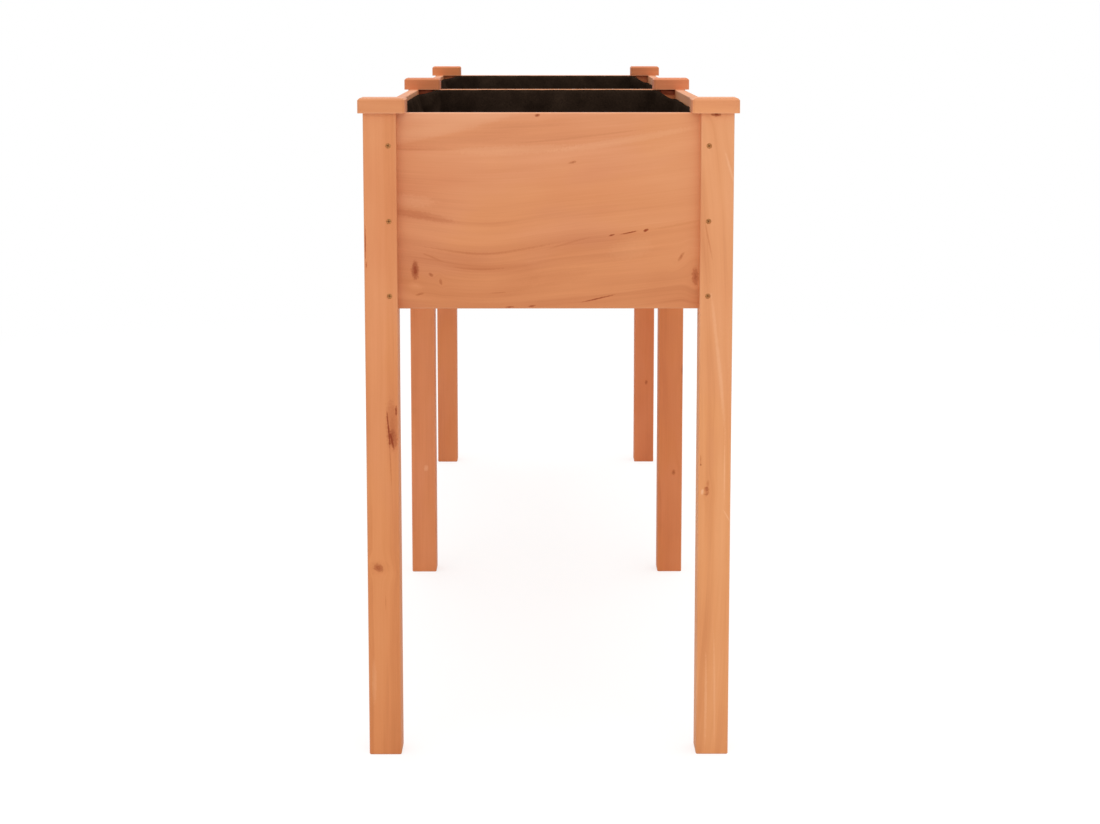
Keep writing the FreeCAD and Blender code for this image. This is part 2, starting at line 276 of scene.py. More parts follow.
# early and late wood, times the stain; then the colours laid over it, of which red and gold multiply it
firShades = {"Light": (1.12, 1.25, 1.45), "Dark": (0.78, 0.64, 0.56)}
# the pale colour lightens pale patches, and the edges as thin stain and painted highlight
firColours = {"Knot": "#8c3406", "Worn": "#ecb791", "Red": "#eccab8", "Gold": "#fffef3"}
firPlain = {  # a board with nothing special about it
    "stain": "#d68c5f", "pith": (0, -120, 90), "ring": 8.0, "band": 30.0, "bandGain": 0.7, "lineGain": 0.25,
    "bend": 0.0, "bendAt": 0.0, "lean": 0.0, "heart": -1000.0, "drift": (0, 0, 0), "goldDrift": (0, 0, 0),
    "marks": (), "sags": (), "markFace": "near",  # marks on the lower face of the third axis, or the far one
}


def onGrain(look, sags, along, across):  # where a place on the face lies once the grain is bent and drawn in
    bent = across + look["bend"] * (along - look["bendAt"]) ** 2
    for atAlong, atAcross, halfLong, halfWide, pull in sags:
        middle = atAcross + look["bend"] * (atAlong - look["bendAt"]) ** 2
        reach = ((along - atAlong) / halfLong) ** 2 + ((bent - middle) / halfWide) ** 2
        bent -= (bent - middle) * pull * math.exp(-marking["pushFall"] * reach)
    return bent


def stainedFir(name, axes, board):  # axes: along the grain, across the face, through it, such as "xzy"
    look = {**firPlain, **board}
    low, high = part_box(name)
    order = ["xyz".index(letter) for letter in axes]
    centre = Vector([(low[i] + high[i]) / 2 / mm for i in order])
    half = Vector([(high[i] - low[i]) / 2 / mm for i in order])
    material, add, shader, place = newMaterial("stainedFir_" + name)
    metres = add("SeparateXYZ", {0: place}).outputs
    ordered = add("CombineXYZ", {i: metres[order[i]] for i in range(3)})
    plain = add("VectorMath", {0: ordered, 1: (1 / mm,) * 3, 2: -centre}, operation="MULTIPLY_ADD")
    # the sweep of the grain along the board, which the marks follow too
    along = add("SeparateXYZ", {0: plain})
    run = add("Math", {0: along, 1: look["bendAt"]}, operation="SUBTRACT")
    sweep = add("Math", {0: run, 1: run}, operation="MULTIPLY")
    rise = add("Math", {0: sweep, 1: look["bend"]}, operation="MULTIPLY")
    lean = add("Math", {0: along, 1: look["lean"]}, operation="MULTIPLY")
    lift = add("CombineXYZ", {1: rise, 2: lean})
    vector = add("VectorMath", {0: plain, 1: lift}, operation="ADD")
    mark = 0.0
    face = -half[2] if look["markFace"] == "near" else half[2]
    narrowest, widest = marking["knotWidth"]
    spots = [(*sag[:4], 0, 0.0, sag[4]) for sag in look["sags"]]
    for spot in look["marks"]:
        isKnot = spot[5] > marking["knotStrength"] and narrowest < spot[3] < widest
        spots.append((*spot, marking["push"] if isKnot else 0.0))
    for number, (atAlong, atAcross, halfLong, halfWide, turn, strength, push) in enumerate(spots):
        across = onGrain(look, look["sags"][:number], atAlong, atAcross)
        spotNode = add("Group", {
            "Vector": vector, "Mark": mark, "Centre": (atAlong, across, face + look["lean"] * atAlong),
            "Half Size": (halfLong, halfWide, marking["depth"]), "Turn": math.radians(-turn), "Push": push,
            "Edge": marking["broadEdge" if halfWide > marking["broad"] else "edge"], "Strength": strength,
        }, node_tree=markGroup)
        vector, mark = spotNode.outputs["Vector"], spotNode.outputs["Mark"]
    stain = linear(look["stain"])
    colours = {shade: linear(colour) for shade, colour in firColours.items()}
    for shade, gains in firShades.items():
        colours[shade] = [c * gain for c, gain in zip(stain, gains)] + [1]
    figure = add("Group", {
        "Vector": vector, "Mark": mark, "Plain": plain, "Half Size": half,
        "Grain": [float(i == order[0]) for i in range(3)], "Seed": look["seed"], "Pith": look["pith"],
        "Ring Width": look["ring"], "Band Width": look["band"], "Band Gain": look["bandGain"],
        "Line Gain": look["lineGain"], "Drift": look["drift"], "Gold Drift": look["goldDrift"],
        "Heart": look["heart"], "Middle": stain, **colours,
    }, node_tree=firGroup).outputs
    relief = add("Bump", {
        "Height": figure["Height"], "Strength": firCoat["relief"], "Distance": firCoat["reliefDepth"] * mm})
    setInputs(shader, {
        "Base Color": figure["Colour"], "Roughness": figure["Roughness"], "Normal": relief,
        "Specular IOR Level": firCoat["specular"],
    })
    nodes[name].material_slots[0].material = material


def roundKnot(along, across, size, turn=0):  # a knot, its darker heart, and the deeper wood about it
    return (
        (along, across, size, size * 0.7, turn, 0.62),
        (along, across, size * 0.5, size * 0.3, turn, 0.38),
        (along, across, size * 3.2, size * 1.4, turn, 0.16),
    )


# marks: place along and across the board from its middle in mm, half length, half width, turn, strength
# sags: the same place and half sizes, and how strongly the growth lines are drawn in there
boards = {
    "front_panel": {
        "axes": "xzy", "seed": 3.1, "pith": (0, -290, 40), "ring": 15.0, "band": 34.0, "lineGain": 0.18,
        "bend": -0.00032, "bendAt": -80.0, "drift": (0.16, 0.24, 0), "goldDrift": (0.2, -0.16, 0),
        "sags": ((-66, -110, 28, 41, -0.27),),
        "marks": (
            # knots
            (-11.4, 97.5, 3.4, 2.4, 0, 0.85), (-136.4, -60.5, 4.6, 12, 0, 0.85),
            (-120.3, -65.1, 2.8, 2.2, -25, 0.6), (-110.4, -72.2, 1.9, 4.4, 12, 0.45),
            (135.3, -46.4, 2.2, 6, -35, 0.5), (149.9, -67.2, 4.4, 10.5, 5, 0.6),
            # pitch dashes
            (64.4, -24.4, 3.8, 1.0, 10, 1.1), (82, -21.9, 9.8, 0.9, 6, 1.1), (98.9, -19.6, 3.4, 1.7, 15, 1.1),
            (50.6, -89.6, 20, 0.9, 8, 0.95), (-39.7, -98.3, 5, 1.3, 0, 0.85), (-17, -97.3, 4.6, 1.3, 5, 0.85),
            (24.3, 49.9, 5, 1.7, 12, 0.5), (-132, -85, 5.8, 1.5, 20, 0.45),
            # deeper lines of the figure
            (-129.6, -4.3, 40, 4.8, -4, 0.3), (-62, -43.6, 78, 1.7, 0, 0.27), (20, -32.6, 26, 1.4, 9, 0.16),
            (-72, -59.5, 30, 1.3, 0, 0.28), (-119, -47, 12, 1.4, -14, 0.22), (-51, -83.6, 10, 0.9, 0, 0.25),
            (136, -13, 34, 1.6, 3, 0.2), (35.7, 75.7, 75, 1.4, 2, 0.2), (-127.5, 62.8, 40, 1.6, 2, 0.22),
            # deeper zones
            (30, 52, 125, 4.5, 4, 0.1), (9, -66, 40, 10, 2, 0.1), (-55, 79, 100, 8, 9, 0.1),
            (-95, -70, 85, 27, 0, 0.09),
            # paler sapwood
            (-129.6, 102.6, 190, 29, 13, -0.15), (-36.6, 62.2, 75, 5.5, 0, -0.13),
            (-140, 11.3, 30, 7, 0, -0.12), (75, 71.5, 85, 4.5, 4, -0.13), (83, -38, 26, 13, 4, -0.06),
            (-136.5, -76.6, 9, 5, 0, -0.14),
        ),
    },
    "front_left_leg": {
        "axes": "zxy", "stain": "#d68957", "seed": 5.2, "pith": (0, -62, 30), "ring": 6.0, "band": 16.0,
        "heart": 57.0, "lineGain": 0.18, "drift": (0.2, 0, 0), "goldDrift": (-0.25, 0, 0),
        "marks": (
            (203, -15.4, 22, 0.9, 0, 0.7), (181, -14.5, 4.5, 1.1, 0, 0.6),
            # a spike knot: red wood between dark lines
            (13, 6.2, 23, 0.9, -5, 0.8), (31, 14.4, 6, 1.4, 0, 0.8), (0, 9.6, 9, 1.2, -12, 0.8),
            (14.5, 10.4, 31, 8, -4, 0.4), (2, 10, 12, 6, -6, 0.38),
            # a round knot, its halo and a few lines
            (-134.4, -5.4, 5, 7.5, 38, 0.5), (-134.4, -5.4, 10, 8.5, 30, 0.16), (-25, 8, 27, 0.8, -2.3, 0.35),
            (-171, 1.6, 10, 0.7, 0, 0.3), (-256, -11, 28, 3, 0, -0.15),
        ),
    },
    "front_right_leg": {
        "axes": "zxy", "stain": "#de9664", "seed": 8.6, "pith": (0, 55, -40), "ring": 7.0, "band": 18.0,
        "bend": 0.00016, "bendAt": -40.0, "lineGain": 0.12, "drift": (0.05, 0, 0), "goldDrift": (-0.3, 0, 0),
        "marks": (
            # the first mark is a dark spot at the top of the leg, just under the cap
            (334, -2, 3.5, 6, 0, 0.9), (206, -8.3, 24, 1.1, -7, 0.3),
            # an eyelet knot with a pale middle, and a dash beside it
            (-46, -6.9, 5, 2, 10, 0.35), (-54, -8.6, 5.8, 3.6, 0, 0.8), (-54.5, -9.8, 3.6, 1.9, 0, -0.68),
            (-20.5, -14.4, 6.5, 0.9, 0, 0.45), (-26, -14.2, 1.4, 1.2, 0, 0.7),
            # pale streaks
            (280, 12.3, 20, 1.6, -11, -0.25), (79, 3.5, 88, 2.2, -4.1, -0.2), (-34, 10.2, 36, 0.9, 0, -0.3),
            (-80, 13.2, 9, 1.0, -30, -0.3), (-276, -6.9, 58, 1.6, -4.2, -0.2),
            (-265, 2.2, 70, 1.2, -4.9, -0.18),
        ),
    },
    # the middle and rear legs' stains are mostly darker and redder than the front legs': painted shade of the
    # frame and the liner in front of them, as well as each leg's own tone
    "middle_left_leg": {
        "axes": "zxy", "stain": "#e08d5e", "seed": 11.3,
        # the mark at 335 along is painted shade: the top of the leg darkened where it stands under the cap
        "marks": ((-188, 3.3, 5, 3.4, 0, -0.35), (335, 0, 8, 30, 0, 0.95)),
    },
    "middle_right_leg": {
        "axes": "zxy", "stain": "#d6804e", "seed": 14.1,
        # the mark at 335 along is painted shade: the top of the leg darkened where it stands under the cap
        "marks": ((-194, 5, 5, 3.6, 0, 0.6), (-50, 16, 9, 1.2, 0, 0.6), (335, 0, 8, 30, 0, 0.95)),
    },
    "rear_left_leg": {"axes": "zxy", "stain": "#da8555", "seed": 17.9},
    "rear_right_leg": {
        "axes": "zxy", "stain": "#d47b4c", "seed": 21.7, "marks": ((-194.5, 3.5, 5, 3.2, 0, 0.6),),
    },
    "front_left_side_board": {
        "axes": "yzx", "seed": 31.4, "pith": (0, -10, 42), "lean": 0.055, "ring": 9.0, "lineGain": 0.45,
        "marks": (
            *roundKnot(-212, 38, 9), *roundKnot(118, -52, 7, 10), (247, 61, 4, 3, 0, 0.6),
            (-290, -20, 5, 3, 0, 0.45), (-60, -71, 16, 1.0, 4, 0.9), (30, 14, 90, 2.2, 2, 0.22),
            (-150, -30, 120, 2.0, -2, 0.2), (200, 40, 100, 2.4, 2, 0.18), (60, 70, 160, 12, 1, -0.12),
            (-200, -70, 120, 9, -1, -0.1),
        ),
    },
    "front_right_side_board": {
        "axes": "yzx", "seed": 37.8, "pith": (0, 24, -38), "lean": 0.06, "ring": 8.5, "lineGain": 0.45,
        "markFace": "far",
        "marks": (
            *roundKnot(-131, -44, 8.5), *roundKnot(205, 29, 6.5, -12), (-286, 66, 4, 3, 0, 0.55),
            (64, 73, 18, 1.0, -4, 0.9), (250, -68, 10, 1.1, 3, 0.8), (40, -20, 140, 2.2, 1, 0.2),
            (-220, 20, 90, 2.0, -2, 0.2), (120, -75, 150, 10, 0, -0.12),
        ),
    },
    "rear_left_side_board": {
        "axes": "yzx", "seed": 43.5, "pith": (0, 40, 46), "lean": -0.055, "ring": 9.0, "lineGain": 0.45,
        "marks": (
            *roundKnot(-96, 22, 8), *roundKnot(178, -63, 9), (-252, -40, 4, 3, 0, 0.5),
            (271, 48, 12, 1.1, 5, 0.85), (30, 50, 130, 2.2, 2, 0.2), (-180, -20, 110, 2.4, -2, 0.22),
            (90, 0, 150, 10, 1, -0.12),
        ),
    },
    "rear_right_side_board": {
        "axes": "yzx", "seed": 49.2, "pith": (0, -60, -44), "lean": -0.06, "ring": 9.0, "lineGain": 0.45,
        "markFace": "far",
        "marks": (
            *roundKnot(-204, -58, 8), *roundKnot(42, 47, 9, 8), (246, -12, 4, 3, 0, 0.55),
            (-40, -76, 15, 1.0, -3, 0.85), (120, -40, 130, 2.2, -2, 0.2), (-160, 30, 110, 2.0, 2, 0.2),
            (-100, 75, 150, 11, 0, -0.12),
        ),
    },
    "rear_panel": {
        "axes": "xzy", "seed": 55.6, "pith": (0, 30, -36), "lean": 0.09, "ring": 9.0, "lineGain": 0.45,
        "markFace": "far",
        "marks": (
            *roundKnot(-74, 52, 6), *roundKnot(96, -38, 8), (20, -82, 12, 1.0, 4, 0.85),
            (-60, -20, 80, 2.0, 4, 0.24), (60, 20, 90, 2.4, -3, 0.2), (-40, 75, 90, 9, 2, -0.13),
        ),
    },
    "divider_panel": {"axes": "xzy", "seed": 61.0},
}
# the middle and rear caps' stains are darker and redder than the front caps': painted shade, where the dark
# liner and the frame in front take light from them, as well as each cap's own tone
capStainsAndShade = {
    "front_left": "#d48a5e", "front_right": "#e09665", "middle_left": "#d07b4f", "middle_right": "#d98156",
    "rear_left": "#d6804f", "rear_right": "#d37e50",
}
sawnStain = "#c98f6a"  # inside, where the stain is only sprayed on
seedStep = 1.7  # between boards that have no seed of their own
slatNumbers = range(1, 8)
for corner, stain in capStainsAndShade.items():
    boards[corner + "_cap"] = {"axes": "xyz", "stain": stain, "ring": 9.0, "band": 20.0, "lineGain": 0.15}
for bay in ("front", "rear"):
    for side in ("left", "right"):
        boards[f"{bay}_{side}_bearer"] = {"axes": "yzx", "stain": sawnStain}
        for end in ("front", "rear"):
            boards[f"{bay}_{side}_{end}_cleat"] = {"axes": "zxy", "stain": sawnStain}
    for number in slatNumbers:
        boards[f"{bay}_floor_slat_{number}"] = {"axes": "xyz", "stain": sawnStain}
for number, (name, board) in enumerate(boards.items()):
    board.setdefault("seed", seedStep * number)
    stainedFir(name, board.pop("axes"), board)
print("stained boards:", len(boards))

# Black felt: needled synthetic fibre. The eye sees a dull black with a little brown in it, a faint
# sheen where the fibres stand up, and a fine matted grain.
felt = {
    "dark": "#241a14", "light": "#372a21", "sheen": "#8a7464",
    "fibre": 2.2, "mat": 26.0,  # in mm, drawn coarse so that they show
}


def blackFelt():
    material, add, shader, place = newMaterial("blackFelt")
    fibre = add("TexNoise", {
        "Vector": place, "Scale": 1 / (felt["fibre"] * mm), "Detail": 4.0, "Distortion": 1.2})
    mat = add("TexNoise", {"Vector": place, "Scale": 1 / (felt["mat"] * mm), "Detail": 3.0})
    both = add("Math", {0: fibre, 1: mat}, operation="MULTIPLY")
    share = add("MapRange", {"Value": both, "From Min": 0.12, "From Max": 0.4})
    colour = add("Mix", {0: share, 6: linear(felt["dark"]), 7: linear(felt["light"])}, data_type="RGBA")
    rough = add("MapRange", {"Value": fibre, "To Min": 0.82, "To Max": 0.98})
    relief = add("Bump", {"Height": fibre, "Strength": 0.5, "Distance": 0.5 * mm})
    setInputs(shader, {
        "Base Color": colour.outputs[2], "Roughness": rough, "Normal": relief, "Specular IOR Level": 0.0,
        "Sheen Weight": 0.01, "Sheen Roughness": 0.5, "Sheen Tint": linear(felt["sheen"]),
    })
    return material


# Liners: a loose bag of black felt in each bay, fixed near the top of the boards.
# The bag is cut a little too large, so it wrinkles when the simulation presses it into its bay.
liner = {  # sizes in mm
    "gap": 2.2, "postGap": 7.0,  # room to the boards and to the posts at the start
    "cell": 9.0, "merge": 0.2, "roundings": 3,  # the mesh, and how often its corners are smoothed
    "dropAtPanels": 0.8, "dropAtLeft": 5.0, "dropAtRight": 11.0, "dropInset": 6.0,  # rim below the top edge
    "rimWave": 1.0, "rimWaveWidth": 50.0, "rimWaveDrop": 12.0,  # the rim waves more where it hangs lower
    "foldDepth": 6.0, "foldWidth": 70.0,  # the folds it starts with
    "foldStretch": 3.0, "floorFold": 0.5,  # how much longer than wide they are, and their share on the floor
    "wallSlack": 0.07, "floorSlack": 0.015, "slackEnd": 0.45,  # spare cloth, full to this share down
    "stiffness": 20.0, "bending": 4.0, "mass": 0.15, "damping": 3.0,  # the felt in the simulation
    "push": 1.5, "quality": 6, "frames": 30,  # how it is pressed
    "clear": 0.5, "thickness": 0.9,  # room kept to the bay's faces, and the felt itself
    "seed": {"front": 3.7, "rear": 8.2},
}
mould = {  # the bay's faces in the simulation, sizes in mm
    "above": 20.0,  # their height above the boards
    "outer": 1.0, "inner": 10.0, "distance": 1.2, "friction": 20.0,  # how the felt meets them
}


def bayPlan(bay):  # the inner faces of a bay in mm, from the nodes around it
    before, after = ("front_panel", "divider_panel") if bay == "front" else ("divider_panel", "rear_panel")
    firstCleat, lastCleat = f"{bay}_right_front_cleat", f"{bay}_right_rear_cleat"
    return {
        "wall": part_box(f"{bay}_right_side_board")[0][0] / mm, "post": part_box(firstCleat)[0][0] / mm,
        "start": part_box(before)[1][1] / mm, "startPost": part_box(firstCleat)[1][1] / mm,
        "endPost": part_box(lastCleat)[0][1] / mm, "end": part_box(after)[0][1] / mm,
        "floor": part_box(f"{bay}_floor_slat_1")[1][2] / mm, "top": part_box(before)[1][2] / mm,
    }


def bayCorners(plan, gap, postGap):  # the bay's outline round its four posts
    wall, post = plan["wall"] - gap, plan["post"] - postGap
    start, startPost = plan["start"] + gap, plan["startPost"] + postGap
    endPost, end = plan["endPost"] - postGap, plan["end"] - gap
    right = [
        (post, start), (post, startPost), (wall, startPost), (wall, endPost), (post, endPost), (post, end),
    ]
    return [Vector(c) for c in right] + [Vector((-x, y)) for x, y in reversed(right)]


def softLoop(corners):  # evenly spaced points along the outline, with rounded corners
    points = []
    for a, b in zip(corners, corners[1:] + corners[:1]):
        steps = max(1, round((b - a).length / liner["cell"]))
        points += [a.lerp(b, k / steps) for k in range(steps)]
    for _ in range(liner["roundings"]):
        before, after = points[-1:] + points[:-1], points[1:] + points[:1]
        points = [(a + b * 2 + c) / 4 for a, b, c in zip(before, points, after)]
    return points


def smoothStep(value, low, high):  # 0 below low, 1 above high, eased between them
    share = min(max((value - low) / (high - low), 0.0), 1.0)
    return share * share * (3 - 2 * share)


def newObject(name, data):  # a mesh, a lamp or a camera put in the scene
    piece = bpy.data.objects.new(name, data)
    bpy.context.scene.collection.objects.link(piece)
    return piece


def evaluatedMesh(piece):  # the mesh as its modifiers leave it
    return bpy.data.meshes.new_from_object(piece.evaluated_get(bpy.context.evaluated_depsgraph_get()))


def rimHeight(point, plan, seed):  # the bag's edge, lower along the side boards
    dropAtBoard = liner["dropAtLeft"] if point.x < 0 else liner["dropAtRight"]
    sideways = smoothStep(abs(point.x), plan["post"] - liner["dropInset"], plan["wall"] - liner["dropInset"])
    drop = liner["dropAtPanels"] + (dropAtBoard - liner["dropAtPanels"]) * sideways
    waveAt = Vector((point.x / liner["rimWaveWidth"], point.y / liner["rimWaveWidth"], seed))
    wave = noise.noise(waveAt) * liner["rimWave"]
    return plan["top"] - drop + wave * smoothStep(drop, 0, liner["rimWaveDrop"])


def buildBag(bay, plan):  # the bag before it is pressed, with its rim and its slack as vertex groups
    loop = softLoop(bayCorners(plan, liner["gap"], liner["postGap"]))
    count, seed = len(loop), liner["seed"][bay]
    middle, ratio = (plan["start"] + plan["end"]) / 2, plan["wall"] / (plan["end"] - plan["start"]) * 2
    base = plan["floor"] + liner["gap"]
    wallRows = round((plan["top"] - plan["floor"]) / liner["cell"])
    floorRings = round(plan["wall"] / liner["cell"])
    shape = bmesh.new()
    tightness = shape.verts.layers.float.new("tightness")
    rows = []
    for row in range(wallRows + floorRings + 1):
        down, inner = min(row / wallRows, 1.0), max(row - wallRows, 0) / floorRings
        verts = []
        for k, point in enumerate(loop):
            run = loop[(k + 1) % count] - loop[k - 1]
            inward = Vector((-run.y, run.x)).normalized()
            foldAt = Vector((point.x, point.y, row * liner["cell"] / liner["foldStretch"]))
            fold = 0.5 + noise.noise(foldAt / liner["foldWidth"] + Vector((0, 0, seed)))
            place = point + inward * fold * liner["foldDepth"] * math.sin(math.pi * down)
            rim = rimHeight(point, plan, seed)
            bulge = fold * liner["foldDepth"] * liner["floorFold"] * math.sin(math.pi * inner)
            height = rim + (base - rim) * down + bulge
            x, y = place.x * (1 - inner), middle + (place.y - middle) * (1 - inner * ratio)
            vert = shape.verts.new((x * mm, y * mm, height * mm))
            vert[tightness] = smoothStep(down, liner["slackEnd"], 1.0)
            verts.append(vert)
        rows.append(verts)
    for upper, lower in zip(rows, rows[1:]):
        for k in range(count):
            following = (k + 1) % count
            shape.faces.new((upper[k], lower[k], lower[following], upper[following]))
    bmesh.ops.remove_doubles(shape, verts=shape.verts, dist=liner["merge"] * mm)
    bmesh.ops.recalc_face_normals(shape, faces=shape.faces)
    shape.verts.index_update()
    rimVerts = {v.index for e in shape.edges if e.is_boundary for v in e.verts}
    weights = [v[tightness] for v in shape.verts]
    mesh = bpy.data.meshes.new(bay + "LinerBag")
    shape.to_mesh(mesh)
    shape.free()
    bag = newObject(bay + "_felt_liner", mesh)
    bag.vertex_groups.new(name="rim").add(list(rimVerts), 1.0, "REPLACE")
    tight = bag.vertex_groups.new(name="tight")
    for index, weight in enumerate(weights):
        tight.add([index], weight, "REPLACE")
    return bag


def buildMould(plan):  # the bay's walls and floor, facing inwards, for the bag to press against
    outline = bayCorners(plan, 0, 0)
    levels = (plan["floor"], plan["top"] + mould["above"])
    shape = bmesh.new()
    low, high = [[shape.verts.new((c.x * mm, c.y * mm, level * mm)) for c in outline] for level in levels]
    shape.faces.new(low)
    for k in range(len(outline)):
        following = (k + 1) % len(outline)
        shape.faces.new((low[k], high[k], high[following], low[following]))
    bmesh.ops.triangulate(shape, faces=shape.faces)
    mesh = bpy.data.meshes.new("bayMould")
    shape.to_mesh(mesh)
    shape.free()
    walls = newObject("bayMould", mesh)
    walls.modifiers.new("wall", "COLLISION")
    walls.collision.thickness_outer = mould["outer"] * mm
    walls.collision.thickness_inner = mould["inner"] * mm
    walls.collision.cloth_friction = mould["friction"]
    return walls


def pressIntoBay(bag, plan):  # cloth simulation, applied to the mesh
    walls = buildMould(plan)
    modifier = bag.modifiers.new("felt", "CLOTH")
    cloth = modifier.settings
    cloth.quality = liner["quality"]
    cloth.mass = liner["mass"]
    cloth.tension_stiffness = cloth.compression_stiffness = liner["stiffness"]
    cloth.shear_stiffness = liner["stiffness"] / 2
    cloth.bending_stiffness = liner["bending"]
    cloth.air_damping = liner["damping"]
    cloth.vertex_group_mass = "rim"
    cloth.vertex_group_shrink = "tight"
    cloth.shrink_min = -liner["wallSlack"]
    cloth.shrink_max = -liner["floorSlack"]
    cloth.use_pressure = True
    cloth.uniform_pressure_force = liner["push"]
    modifier.collision_settings.distance_min = mould["distance"] * mm
    modifier.collision_settings.use_self_collision = False
    modifier.point_cache.frame_end = liner["frames"]
    scene = bpy.context.scene
    for number in range(1, liner["frames"] + 1):
        scene.frame_set(number)
    pressed = evaluatedMesh(bag)
    bag.modifiers.clear()
    bag.data = pressed
    scene.frame_set(1)
    bpy.data.objects.remove(walls)


def keepInBay(bag, plan):  # no point of the bag reaches into a board, a post or the floor
    clear = liner["clear"]
    wall, post, floor = plan["wall"] - clear, plan["post"] - clear, plan["floor"] + clear
    startPost, endPost = plan["startPost"] + clear, plan["endPost"] - clear
    for vert in bag.data.vertices:
        x, y, z = vert.co / mm
        x = min(max(x, -wall), wall)
        y = min(max(y, plan["start"] + clear), plan["end"] - clear)
        beyond = max(startPost - y, y - endPost)  # how deep beside a post
        if abs(x) > post and beyond > 0:
            if abs(x) - post < beyond:
                x = math.copysign(post, x)
            else:
                y = startPost if y < (plan["start"] + plan["end"]) / 2 else endPost
        vert.co = Vector((x, y, max(z, floor))) * mm


def buildLiner(bay, material):  # the pressed bag with the felt's thickness
    plan = bayPlan(bay)
    bag = buildBag(bay, plan)
    pressIntoBay(bag, plan)
    keepInBay(bag, plan)
    bag.vertex_groups.clear()
    for face in bag.data.polygons:
        face.use_smooth = True
    bag.data.materials.clear()
    bag.data.materials.append(material)
    finer = bag.modifiers.new("finer", "SUBSURF")
    finer.levels = finer.render_levels = 1
    wall = bag.modifiers.new("feltThickness", "SOLIDIFY")
    wall.thickness = liner["thickness"] * mm
    wall.offset = -1
    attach(bag, "root")
    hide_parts(bay + "_liner")
    print("felt liner ready in the", bay, "bay")


feltMaterial = blackFelt()
for bay in ("front", "rear"):
    buildLiner(bay, feltMaterial)

# Yellow-zinc steel: plated wood screws gone dull. The eye sees a yellow-brown metal with cloudy spots.
zinc = {"bright": "#c68e5c", "dull": "#a86e40", "cloud": 1.6}  # cloud size in mm


def zincSteel():
    material, add, shader, place = newMaterial("zincSteel")
    cloud = add("TexNoise", {"Vector": place, "Scale": 1 / (zinc["cloud"] * mm), "Detail": 3.0})
    colour = add("Mix", {0: cloud, 6: linear(zinc["dull"]), 7: linear(zinc["bright"])}, data_type="RGBA")
    rough = add("MapRange", {"Value": cloud, "To Min": 0.38, "To Max": 0.6})
    setInputs(shader, {"Base Color": colour.outputs[2], "Roughness": rough, "Metallic": 1.0})
    return material


# Screws: countersunk heads with a cross recess, put where the solids of each group are
screw = {
    "Shank": 4.0, "Head Depth": 2.4, "Recess Depth": 1.4, "Tip": 4.0,  # in mm
    "Recess Length": 0.66, "Recess Width": 0.2,  # shares of the head
    "Spin Seed": 5,
}
screwSides = 24  # faces round a screw
solidMerge, endDepth = 0.01, 0.1  # in mm, to tell a solid's points and its end faces
screwGroups = ("front_leg_screws", "rear_leg_screws", "middle_leg_screws", "cleat_screws", "bearer_screws")


def islands(shape):  # the points of each solid of a group
    waiting, found = set(shape.verts), []
    while waiting:
        island, reached = [], [waiting.pop()]
        while reached:
            vert = reached.pop()
            island.append(vert.co.copy())
            for edge in vert.link_edges:
                other = edge.other_vert(vert)
                if other in waiting:
                    waiting.remove(other)
                    reached.append(other)
        found.append(island)
    return found


def screwPlaces(node):  # of each solid: the middle of its head, its direction, length and head size
    shape = bmesh.new()
    shape.from_mesh(nodes[node].data)
    bmesh.ops.remove_doubles(shape, verts=shape.verts, dist=solidMerge * mm)
    places = []
    for island in islands(shape):
        sides = [(min(c[i] for c in island), max(c[i] for c in island)) for i in range(3)]
        axis = max(range(3), key=lambda i: sides[i][1] - sides[i][0])
        middle = Vector([(a + b) / 2 for a, b in sides])
        widths = []
        for side in sides[axis]:  # the radius at each end: the head's is the larger
            offsets = [c - middle for c in island if abs(c[axis] - side) < endDepth * mm]
            for offset in offsets:
                offset[axis] = 0
            widths.append(max(offset.length for offset in offsets))
        headEnd = widths.index(max(widths))
        head, aim = middle.copy(), Vector((0, 0, 0))
        head[axis] = sides[axis][headEnd]
        aim[axis] = 1.0 if headEnd == 0 else -1.0
        places.append((head, aim, sides[axis][1] - sides[axis][0], 2 * max(widths)))
    shape.free()
    return sorted(places, key=lambda place: tuple(place[0]))


